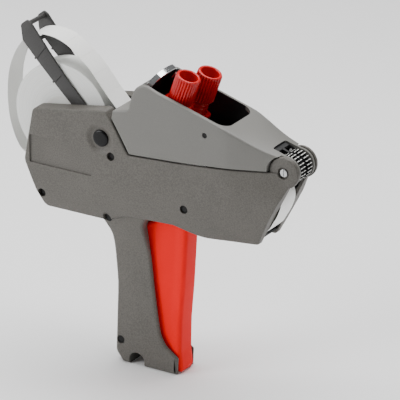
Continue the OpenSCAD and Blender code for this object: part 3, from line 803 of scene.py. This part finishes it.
def along(table, value):
    """Reads a value off a short table of pairs, straight between the rows."""
    for (v0, a0), (v1, a1) in zip(table, table[1:]):
        if value <= v1:
            t = max(0.0, (value - v0) / (v1 - v0))
            return a0 + (a1 - a0) * t
    return table[-1][1]


def dished(x, y, z):
    """Draws the sides in behind the trigger's front, and the front in a little at its edges."""
    behind = along(FRONT_LINE, z) - x
    dip = 0.9 * ease((behind - 5.0) / 4.5) * ease((z - 8) / 14)
    side = 1 if y > 0 else -1
    return x, side * max(0.0, abs(y) - dip * min(1.0, abs(y) / 9)), z


trigger = slab("trigger_body", rounded(TRIGGER), -9, 9, 3.2, 3.2, 8)
grid(trigger, steps_between(-8, 32, 1.9), steps_between(0.6, 121, 5))
warp(trigger, dished)
HOLLOW_HALF = 6.4
hollow = slab("hollow", rounded(inner_outline(TRIGGER, 2.8)), -HOLLOW_HALF, HOLLOW_HALF)
rear = slab("rear", ((-20, 16), (-20, 130), (20, 130), (12, 16)), -HOLLOW_HALF, HOLLOW_HALF)
combine(hollow, [rear], "UNION")
combine(hollow, [box("span", (-30, -10, 14), (60, 10, 119))], "INTERSECT")
combine(trigger, [hollow])
stop = slab("spring_stop", ((-3.2, 77), (-3.2, 91), (-1.2, 91), (-1.2, 77)), -7.4, 7.4)
combine(trigger, [stop], "UNION")
combine(trigger, [box("cam_slot", (7.9, -2.05, 110), (22.1, 2.05, 130)),
                  bar("pin_bore", (16, 8), 2.06, -20, 20)])
soften(trigger, 34)
place(trigger, TRIGGER_RED, "trigger_plastic", "trigger_unit", "trigger")
print("trigger:", len(trigger.data.polygons), "faces")

# %% [markdown]
# ## The setting knobs
# A knob is a hollow cap with twenty-six fine ribs that bite into the rounded rim at the top. It is
# drawn as stacked rings round its own leaning axis, and then stood in its place.
# %% Turned and ribbed pieces
def turned(name, rows, steps=78, ribs=None):
    """Spins rows of (radius, height, rib depth) round the upright axis through the origin."""
    def make(bm):
        rings = []
        for radius, height, depth in rows:
            ring = []
            for k in range(steps):
                a = 2 * math.pi * k / steps
                r = radius
                if depth:
                    wave = 0.5 - 0.5 * math.cos(a * ribs)
                    r -= depth * wave ** 1.3
                ring.append(bm.verts.new((r * math.cos(a) * MM, r * math.sin(a) * MM, height * MM)))
            rings.append(ring)
        join_rings(bm, rings, ends=False)
    return new_piece(name, make)


LEFT_KNOB = axis_xz("left_dial_turn")
STAGGER = math.hypot(LEFT_KNOB[0] - KNOB[0], LEFT_KNOB[1] - KNOB[1])


def stand_at_knob(piece, side):
    """Moves a piece made on the upright axis to the foot of a knob; the left one stands in front."""
    lean = Matrix.Rotation(math.radians(LEAN), 4, "Y")
    stagger = Matrix.Translation((STAGGER * MM if side > 0 else 0, 0, 0))
    foot = Matrix.Translation((KNOB[0] * MM, side * KNOB_Y * MM, KNOB[1] * MM))
    piece.data.transform(foot @ lean @ stagger)
    return piece


def curve_rows(centre_r, centre_h, radius, a0, a1, count, depth0=0.0, depth1=0.0):
    """A quarter-round edge as rows, from one angle to another."""
    rows = []
    for k in range(count + 1):
        t = k / count
        a = math.radians(a0 + (a1 - a0) * t)
        rows.append((centre_r + radius * math.cos(a), centre_h + radius * math.sin(a),
                     depth0 + (depth1 - depth0) * t))
    return rows


RIBS = 26
KNOB_ROWS = (
    [(3.05, 0.0, 0), (7.4, 0.0, 0), (8.5, 0.2, 0.3), (9.1, 0.8, 0.9), (9.3, 1.6, 1.1), (9.3, 10, 1.2),
     (9.3, 19.0, 1.2), (9.3, 20.6, 1.15), (9.25, 21.3, 1.0), (9.1, 21.8, 0.75), (8.9, 22.2, 0.35)]
    + curve_rows(8.0, 21.9, 0.85, 40, 90, 4) + curve_rows(7.45, 22.0, 0.75, 90, 180, 4)
    + [(6.7, 21.2, 0), (6.6, 9.4, 0), (6.1, 9.0, 0), (3.05, 9.0, 0)]
)
for side, name in ((-1, "right"), (1, "left")):
    knob = stand_at_knob(turned(name + "_knob_cap", KNOB_ROWS, RIBS * 10, RIBS), side)
    soften(knob, 50)
    place(knob, KNOB_RED, "knob_plastic", name + "_dial", name + "_knob")

# %% [markdown]
# Under each knob is a sleeve with three round collars, where fingers and a spring clip hold it, and
# both sleeves stand in a red plate with a shallow step round each.
# %% Selector sleeves and their plate
SLEEVE_ROWS = [(3.06, -13.9, 0), (5.9, -13.9, 0), (6.2, -13.6, 0), (6.2, -10.9, 0)]
for ring_z in (-10.6, -7.4, -4.2):
    SLEEVE_ROWS += [(6.2, ring_z, 0), (6.75, ring_z, 0), (7.0, ring_z + 0.3, 0), (7.0, ring_z + 1.3, 0),
                    (6.75, ring_z + 1.6, 0), (6.2, ring_z + 1.6, 0)]
SLEEVE_ROWS += [(6.2, -0.7, 0), (5.9, -0.4, 0), (3.06, -0.4, 0)]
for side, name in ((-1, "right"), (1, "left")):
    sleeve_piece = stand_at_knob(turned(name + "_sleeve_turned", SLEEVE_ROWS, 72), side)
    soften(sleeve_piece, 40)
    place(sleeve_piece, KNOB_RED, "knob_plastic", name + "_selector", name + "_selector_sleeve")


def knob_plate(name):
    plan = rounded([(-19, -17.5, 3), (10, -17.5, 3), (16, 0, 3), (16, 17.5, 3), (-19, 17.5, 3)])

    def make(bm):
        rings = []
        for height, depth in ((-14.1, 0), (-12.1, 0), (-11.8, 0.12), (-11.6, 0.5)):
            ring = shrunk(plan, depth) if depth else plan
            rings.append([bm.verts.new((p.x * MM, p.y * MM, height * MM)) for p in ring])
        join_rings(bm, rings)
    piece = new_piece(name, make)
    for side in (-1, 1):
        rim = turned("rim", [(6.3, -13.5, 0), (9.0, -13.5, 0), (9.0, -11.2, 0), (8.7, -10.9, 0),
                             (7.4, -10.9, 0), (7.4, -11.6, 0), (6.3, -11.6, 0)], 60)
        forward = STAGGER if side > 0 else 0
        spot = Matrix.Translation((forward * MM, side * KNOB_Y * MM, 0))
        rim.data.transform(spot)
        hole = turned("hole", [(0.02, -40, 0), (6.3, -40, 0), (6.3, 0, 0), (0.02, 0, 0)], 60)
        hole.data.transform(spot)
        combine(piece, [rim], "UNION")
        combine(piece, [hole])
    return piece


base_plate = stand_at_knob(knob_plate("selector_plate"), 0)
soften(base_plate, 34)
place(base_plate, KNOB_RED, "knob_plastic", "print_head", "knob_base")

# %% [markdown]
# ## The web arm
# Two dark arms stand up from the button pivot and carry two cross bars that the web rides on. Each
# arm is a flat bar with two thin joint lines cut across it, and a small tab at the foot of each line.
# The bars have collars at their ends.
# %% Arms
ARM_LINE = [
    (-107, 237.4, 3), (-95, 224.7, 60), (-79.5, 209.2, 60), (-65.8, 196.2, 40), (-41, 173.2, 8),
    (-33.8, 168.5, 8), (-26.8, 181.5, 7), (-41, 187.5, 16), (-53.8, 198.8, 24), (-72, 218, 60),
    (-86.5, 236, 60), (-99.4, 252, 2), (-103, 254, 2), (-108.5, 249.4, 3),
]
arm_outline = rounded(ARM_LINE, 6)
LINE_HALF = 0.35
arm = slab("arm_side", arm_outline, 10.4, 12.0, 0.2, 0.35, 3)
JOINT_LINES = (((-95, 224.7), (-86.5, 236)), ((-79.5, 209.2), (-72, 218)))
for (x0, z0), (x1, z1) in JOINT_LINES:
    run = Vector((x1 - x0, z1 - z0)).normalized()
    across = Vector((-run.y, run.x))
    a, b = Vector((x0, z0)) - run * 3, Vector((x1, z1)) + run * 3
    edge_step = across * LINE_HALF
    line = [a - edge_step, b - edge_step, b + edge_step, a + edge_step]
    combine(arm, [slab("joint_line", line, 11.4, 13.5)])
    foot = Vector((x0, z0))
    tab = [foot - run * 0.9 + across * k for k in (0.7, 2.1)]
    tab += [foot + run * 2 + across * k for k in (2.1, 0.7)]
    combine(arm, [slab("tab", tab, 10.6, 11.9, 0.2, 0.2)], "UNION")
combine(arm, [bar("eye", ARM, 3.06, 0, 20)])
soften(arm, 32)
other_arm = mirrored(arm, "arm_side_right")
soften(other_arm, 32)
place(arm, ARM_GREY, "arm_plastic", "web_arm", "left_roll_arm")
place(other_arm, ARM_GREY, "arm_plastic", "web_arm", "right_roll_arm")


def cross_bar(name, centre, radius):
    rows = [(radius - 0.3, -10.4, 0), (radius, -10.1, 0), (radius, -9.0, 0), (radius - 0.45, -8.7, 0),
            (radius - 0.45, 8.7, 0), (radius, 9.0, 0), (radius, 10.1, 0), (radius - 0.3, 10.4, 0)]
    piece = turned(name, [(0.02, -10.4, 0)] + rows + [(0.02, 10.4, 0)], 40)
    piece.data.transform(Matrix.Translation((centre[0] * MM, 0, centre[1] * MM))
                         @ Matrix.Rotation(math.radians(90), 4, "X"))
    return soften(piece, 40)


top_bar = cross_bar("top_bar", (-103, 250.2), 2.2)
low_bar = cross_bar("low_bar", (-94.5, 239.8), 2.0)
place(top_bar, ARM_GREY, "arm_plastic", "web_arm", "arm_crossbars")
place(low_bar, ARM_GREY, "arm_plastic", "web_arm", "arm_crossbars")

# %% [markdown]
# ## The hanging bail
# The bail is a strap of polished spring steel bent to a full, round arch. Its ends turn out into pins
# that sit in the cover's lugs.
# %% Bail
BAIL_REACH, BAIL_HALF, BAIL_TILT = 12.5, 16.6, 55
ARCH_STEPS, ARCH_FULLNESS = 40, 2.5


def bail_line(inset):
    """The strap's middle line in its own plane, as (forward, sideways): a full, round arch."""
    points = [(-1.6, -BAIL_HALF + inset)]
    for k in range(ARCH_STEPS + 1):
        a = math.radians(-90 + 180 * k / ARCH_STEPS)
        forward = (BAIL_REACH - inset) * abs(math.cos(a)) ** (2 / ARCH_FULLNESS)
        sideways = (BAIL_HALF - inset) * math.copysign(abs(math.sin(a)) ** (2 / ARCH_FULLNESS), math.sin(a))
        points.append((forward, sideways))
    return points + [(-1.6, BAIL_HALF - inset)]


def strap(name, line_out, line_in, half_width_mm, rim):
    """A flat strap between two lines, with slightly rounded edges."""
    def make(bm):
        rings = []
        for (xo, yo), (xi, yi) in zip(line_out, line_in):
            out, inn = Vector((xo, yo)), Vector((xi, yi))
            mid, leg = (out + inn) / 2, (out - inn) / 2
            corners = []
            for u, v in ((1, -1), (1, 1), (-1, 1), (-1, -1)):
                for first in (True, False):
                    du = rim if (first == (u * v < 0)) else 0
                    dv = 0 if (first == (u * v < 0)) else rim
                    p = mid + leg * u * (1 - du / leg.length)
                    corners.append((p, v * (half_width_mm - dv)))
            rings.append([bm.verts.new((p.x * MM, p.y * MM, v * MM)) for p, v in corners])
        join_rings(bm, rings)
    return new_piece(name, make)


bail = strap("bail_strap", bail_line(0), bail_line(1.0), 2.2, 0.22)
for side in (-1, 1):
    pin = turned("bail_pin", [(0.02, 0, 0), (1.2, 0, 0), (1.2, 3.1, 0), (0.95, 3.4, 0), (0.02, 3.4, 0)], 32)
    pin.data.transform(Matrix.Translation((0, side * 16.3 * MM, 0))
                       @ Matrix.Rotation(math.radians(-90 * side), 4, "X"))
    combine(bail, [pin], "UNION")
bail.data.transform(Matrix.Translation((BAIL[0] * MM, 0, BAIL[1] * MM))
                    @ Matrix.Rotation(math.radians(-BAIL_TILT), 4, "Y"))
soften(bail, 30)
place(bail, POLISHED, "bail_steel", "bail", "hang_bail")
print("bail:", len(bail.data.polygons), "faces")

# %% [markdown]
# ## Applicator wheels and front axle
# Two dark wheels with ribbed teeth press the label down; the tips of the teeth are painted white, a
# painted highlight for their bright crests. Their flat sides are dished round a hub. The axle has a
# bright slotted head on each side, in the housing's counterbore.
# %% Applicator wheels
def toothed(name, y0, y1, r_out, r_root, teeth):
    points = []
    for k in range(teeth):
        for share, r in ((0.0, r_out), (0.22, r_out), (0.42, r_root + 0.25), (0.5, r_root),
                         (0.72, r_root), (0.8, r_root + 0.25)):
            a = 2 * math.pi * (k + share) / teeth
            points.append(Vector((HUB[0] + r * math.cos(a), HUB[1] + r * math.sin(a))))
    return slab(name, points, y0, y1, 0.25, 0.25, 2)


TIP_R, ROOT_R, TIP_HIGHLIGHT_FROM_R = 11.0, 9.0, 10.45
wheel = toothed("wheel_teeth", 1.3, 7.7, TIP_R, ROOT_R, 24)
ring_cut = combine(bar("ring_cut", HUB, 7.6, 6.7, 9, 0.5, 0), [bar("hub_left", HUB, 4.6, 6, 10)])
groove = combine(bar("groove", HUB, 12, 4.1, 4.9), [bar("groove_core", HUB, 8.6, 3, 6)])
combine(wheel, [ring_cut, groove, bar("wheel_bore", HUB, 2.56, 0, 20)])
soften(wheel, 34)
other_wheel = mirrored(wheel, "wheel_teeth_right")
soften(other_wheel, 34)
place(wheel, WHEEL_WHITE, "wheel_plastic", "left_applicator", "left_applicator_wheel")
place(other_wheel, WHEEL_WHITE, "wheel_plastic", "right_applicator", "right_applicator_wheel")
# Painted highlight: faces near the tips of the teeth take the white finish for their bright crests; the rest of
# each wheel is black.
for piece in (wheel, other_wheel):
    piece.data.materials.append(BLACK)
    for face in piece.data.polygons:
        reach = Vector((face.center.x / MM - HUB[0], face.center.z / MM - HUB[1])).length
        face.material_index = 0 if reach > TIP_HIGHLIGHT_FROM_R else 1

HEAD_FOOT = 13.1
axle = bar("axle_turned", HUB, 2.5, -HEAD_FOOT, HEAD_FOOT, 0, 0, 48)
for side in (-1, 1):
    inner, outer = sorted((side * HEAD_FOOT, side * 14.4))
    head = bar("axle_head", HUB, 3.0, inner, outer, 0.35 if side < 0 else 0, 0.35 if side > 0 else 0, 48)
    low, high = sorted((side * 13.8, side * 20))
    combine(head, [box("slot", (HUB[0] - 0.42, low, 170), (HUB[0] + 0.42, high, 190))])
    combine(axle, [head], "UNION")
soften(axle, 34)
place(axle, PIN_STEEL, "pin_steel", "root", "front_axle")

# %% [markdown]
# ## Push buttons
# Each button is a polished black disc with a crowned face, in the round seat above the arm's pivot.
# %% Buttons
for side, name in ((-1, "right"), (1, "left")):
    rows = [(0.02, 17.3, 0), (2.2, 17.3, 0), (2.2, 18.6, 0)]
    rows += [(6.1, 18.6, 0), (6.42, 18.9, 0), (6.42, 21.4, 0)]
    rows += curve_rows(5.5, 21.45, 0.92, 0, 60, 4) + [(4.2, 22.3, 0), (2.2, 22.38, 0), (0.02, 22.4, 0)]
    button = turned(name + "_button_disc", rows, 72)
    button.data.transform(Matrix.Translation((ARM[0] * MM, 0, ARM[1] * MM))
                          @ Matrix.Rotation(math.radians(-90 * side), 4, "X"))
    soften(button, 40)
    place(button, BUTTON, "button_plastic", name + "_release", name + "_button")

# %% [markdown]
# ## Label roll
# The roll is a long web wound on a card core. Its flat sides aren't quite flat: the windings stand a
# few tenths of a millimetre in and out. The outermost end of the web leaves it at the bottom.
# %% Roll
def wound_roll(bm):
    steps = 128
    rings = []
    inner, outer, flat, waves = 14.52, 40.0, 9.9, 14
    radii = [inner + (outer - inner) * (k + 0.5) / waves for k in range(waves)]
    profile = [(inner, -flat)]
    profile += [(r, -flat - 0.1 * math.sin(2.3 * k)) for k, r in enumerate(radii)]
    profile += [(outer, -9.85), (outer, 9.85)]
    profile += [(r, flat + 0.1 * math.sin(1.7 * k + 1)) for k, r in reversed(list(enumerate(radii)))]
    profile.append((inner, flat))
    for r, y in profile:
        rings.append([bm.verts.new(((ROLL[0] + r * math.cos(2 * math.pi * k / steps)) * MM, y * MM,
                                    (ROLL[1] + r * math.sin(2 * math.pi * k / steps)) * MM))
                      for k in range(steps)])
    join_rings(bm, rings, ends=False)


roll = new_piece("wound_web", wound_roll)
soften(roll, 50)
place(roll, WOUND, "label_paper", "roll", "label_roll")

# %% [markdown]
# ## The free web
# The web leaves the roll at the back, climbs behind it, goes over the arm's bars in one free loop, and
# dives under the cover. Labels lie on it side by side with a small gap. It is made in two lengths,
# split at its highest point.
# %% Web helpers
def smooth_line(points, steps):
    """A smooth line through points."""
    result = []
    last = len(points) - 1
    for i in range(last):
        a, b = Vector(points[max(0, i - 1)]), Vector(points[i])
        c, d = Vector(points[i + 1]), Vector(points[min(last, i + 2)])
        for k in range(steps):
            t = k / steps
            result.append(0.5 * (2 * b + (c - a) * t + (2 * a - 5 * b + 4 * c - d) * t * t
                                 + (3 * b - a - 3 * c + d) * t ** 3))
    result.append(Vector(points[last]))
    return result


def even_line(points, gap):
    """The same line with points an even way apart."""
    result = [points[0]]
    left = gap
    for a, b in zip(points, points[1:]):
        piece_length = (b - a).length
        done = 0.0
        while piece_length - done >= left:
            done += left
            result.append(a + (b - a) * (done / piece_length))
            left = gap
        left -= piece_length - done
    return result


def normals_of(line):
    found = []
    for i in range(len(line)):
        run = (line[min(len(line) - 1, i + 1)] - line[max(0, i - 1)]).normalized()
        found.append(Vector((-run.y, run.x)))
    return found


def paper_strip(name, line, half, thick, lift=0.0, first=0, last=None):
    """A thin strip along a line, from one point of it to another."""
    sides = normals_of(line)
    last = len(line) - 1 if last is None else last

    def make(bm):
        rings = []
        for i in range(first, last + 1):
            up = line[i] + sides[i] * (lift + thick / 2)
            down = line[i] + sides[i] * (lift - thick / 2)
            rings.append([bm.verts.new((p.x * MM, y * MM, p.y * MM))
                          for p, y in ((up, -half), (up, half), (down, half), (down, -half))])
        join_rings(bm, rings)
    return new_piece(name, make)


def labelled_strip(name, line):
    """Backing paper with one label after another on its outer side."""
    strip = paper_strip(name, line, WEB_HALF, 0.16)
    pieces = []
    step = round((LABEL_LENGTH + LABEL_GAP) / PAPER_GAP)
    reach = round(LABEL_LENGTH / PAPER_GAP)
    for start in range(2, len(line) - reach - 1, step):
        pieces.append(paper_strip("label", line, WEB_HALF - 0.4, 0.14, 0.15, start, start + reach))
    bm = bmesh.new()
    bm.from_mesh(strip.data)
    for piece in pieces:
        bm.from_mesh(piece.data)
        drop(piece)
    bm.to_mesh(strip.data)
    bm.free()
    return strip


WEB = [
    (-74, 143.9), (-88, 144.6), (-101, 146.6), (-112, 152.5), (-119.5, 170), (-122, 190),
    (-120, 212), (-112, 231), (-100, 242.4), (-84, 244.6), (-68, 239.6), (-51, 226),
    (-36, 208.8), (-26, 198.2), (-17, 189), (-6, 178.9), (14, 169.8), (44, 160.5),
    (70, 153.6), (82, 153.4), (104, 164.6), (107.5, 166.4),
]
PAPER_GAP = 0.8
WEB_HALF = 10
LABEL_LENGTH, LABEL_GAP = 15.2, 1.2
web_line = even_line(smooth_line(WEB, 12), PAPER_GAP)
top_index = max(range(len(web_line)), key=lambda i: web_line[i].y)
print("web:", round(len(web_line) * PAPER_GAP), "mm long")
rear_web = labelled_strip("web_rear", web_line[:top_index + 1])
front_web = labelled_strip("web_front", web_line[top_index:])
for piece in (rear_web, front_web):
    soften(piece, 40)
    dress(piece, LABEL_PAPER)
    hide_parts("label_web")
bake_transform(rear_web)
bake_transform(front_web)

# %% [markdown]
# ## The used backing
# After the label has been peeled off, the bare backing turns down over the peel edge, bulges out of
# the open nose and goes back under the feed wheel.
# %% Backing strip
LINER = [
    (108.2, 165.4), (111.2, 160.5), (111.6, 154), (109.2, 146.5), (105, 138.6),
    (100.4, 131.6), (94, 127.9), (87, 127.2), (80, 126.2), (72, 125.1), (66, 124.9), (58, 126.5),
]
liner = paper_strip("backing_strip", even_line(smooth_line(LINER, 10), PAPER_GAP), WEB_HALF, 0.2)
soften(liner, 40)
place(liner, BACKING, "label_paper", "root", "liner_strip")

# %% [markdown]
# ## Finishes of the pieces that stay as they are
# The frame's other pieces have their real shape already. Each gets its finish, and a small bevel
# that gives its edges a light line.
# %% Finishes for the plain nodes
BY_SLOT = {
    "housing_plastic": HOUSING, "cover_plastic": COVER, "arm_plastic": ARM_GREY, "dark_plastic": BLACK,
    "button_plastic": BUTTON, "trigger_plastic": TRIGGER_RED, "knob_plastic": KNOB_RED,
    "pin_steel": PIN_STEEL, "frame_steel": STAMPED, "bail_steel": POLISHED, "spring_steel": WIRE,
    "label_paper": LABEL_PAPER, "core_card": CARD, "type_rubber": RUBBER, "ink_felt": FELT,
    "wheel_plastic": WHEEL_WHITE, "bridge_plastic": BRIDGE_GREY,
}
# The screws take the near-black steel that paints the shade of their pits.
OWN_FINISH = {"applicator_plate": CHARCOAL, "head_frame": BLACK, "cover_screws": DARK_SHADE_STEEL,
              "core_hub": WHEEL_WHITE, "housing_screws": DARK_SHADE_STEEL}
NO_BEVEL = ("trigger_spring", "right_button_spring", "left_button_spring", "ratchet_wheel")
for part in frame["record"]["subparts"]:
    piece = NODES[part["node"]]
    dress(piece, OWN_FINISH.get(part["node"], BY_SLOT[part["material_slot"]]))
    if part["node"] not in NO_BEVEL:
        edge = piece.modifiers.new("edge", "BEVEL")
        edge.width = 0.25 * MM
        edge.segments = 2
        edge.limit_method = "ANGLE"
        edge.angle_limit = math.radians(40)

# %% [markdown]
# ## Floor, light and camera
# The gun stands on a plain pale floor in soft studio light: a large panel above, a smaller one from
# the left and behind the camera, and a weak narrow strip ahead of the nose. The camera stands to the
# gun's right front, a little above.
# %% Studio
def area_light(name, place_m, target_m, size_m, watts):
    light = bpy.data.lights.new(name, "AREA")
    light.shape = "RECTANGLE"
    light.size, light.size_y = size_m
    light.energy = watts
    lamp = bpy.data.objects.new(name, light)
    bpy.context.scene.collection.objects.link(lamp)
    lamp.location = place_m
    lamp.rotation_euler = (Vector(target_m) - Vector(place_m)).to_track_quat("-Z", "Y").to_euler()


def studio_floor(bm):
    bmesh.ops.create_grid(bm, x_segments=1, y_segments=1, size=6)


floor = new_piece("studio_floor", studio_floor)
floor_paint, floor_tree, floor_shader = finish("floor_paint", (0.92, 0.92, 0.92), 0.7)
floor_noise = noise(floor_tree, 3, 2)
vary_colour(floor_tree, floor_shader, floor_noise.outputs["Fac"], (0.91, 0.91, 0.91), (0.93, 0.93, 0.93))
dress(floor, floor_paint)

world = bpy.data.worlds.new("studio_sky")
world.use_nodes = True
world.node_tree.nodes["Background"].inputs["Color"].default_value = (1, 1, 1, 1)
world.node_tree.nodes["Background"].inputs["Strength"].default_value = 0.22
bpy.context.scene.world = world

AIM = (0.0372, 0.0006, 0.1381)
area_light("top_panel", (-0.1, 0.25, 1.35), AIM, (1.5, 1.1), 36)
area_light("key_panel", (-0.95, -1.1, 0.6), AIM, (0.7, 0.9), 17)
area_light("edge_strip", (1.2, -0.15, 0.5), AIM, (0.25, 1.2), 3)

AZIMUTH, ELEVATION = math.radians(31.5), math.radians(23)
DISTANCE, FRAME_WIDTH, SENSOR_MM = 3.5, 0.29, 36
camera_data = bpy.data.cameras.new("camera")
camera = bpy.data.objects.new("camera", camera_data)
bpy.context.scene.collection.objects.link(camera)
back = Vector((math.sin(AZIMUTH) * math.cos(ELEVATION), -math.cos(AZIMUTH) * math.cos(ELEVATION),
               math.sin(ELEVATION)))
camera.location = Vector(AIM) + back * DISTANCE
camera.rotation_euler = (-back).to_track_quat("-Z", "Y").to_euler()
camera_data.sensor_width = SENSOR_MM
camera_data.lens = SENSOR_MM * DISTANCE / FRAME_WIDTH
bpy.context.scene.camera = camera
